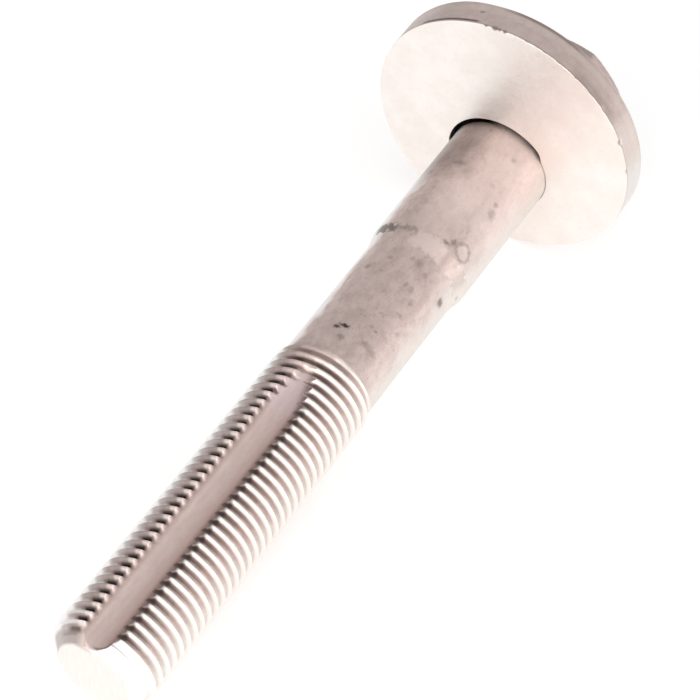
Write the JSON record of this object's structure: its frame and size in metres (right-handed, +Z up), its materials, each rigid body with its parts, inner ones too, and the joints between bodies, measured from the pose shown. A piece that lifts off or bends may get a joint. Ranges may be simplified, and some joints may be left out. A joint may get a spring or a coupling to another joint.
{
  "type": "camber bolt",
  "caption": "Keyed hexagon bolt with an eccentric disc under its head; turning it shifts the wheel arm it clamps.",
  "frame": {"origin": "on the ground, under the centre of the lying bolt's box", "axes": "+Z up. +X runs along the lying bolt from its tip to its head, level with the ground; the bolt's own axis climbs 3.6 degrees to the head. The XZ plane is the plane of the cam's high side and the keyway, and both face up."},
  "size_m": [0.0958, 0.0314, 0.0316],
  "materials": {
    "bolt_steel": "matt grey zinc plating on a forged and thread-rolled bolt, slightly mottled",
    "plate_steel": "matt pale grey zinc plating on a blanked disc, with a sheared rim"
  },
  "bodies": {
    "root": {"bolt": "bolt_steel", "cam_plate": "plate_steel"}
  },
  "joints": []
}
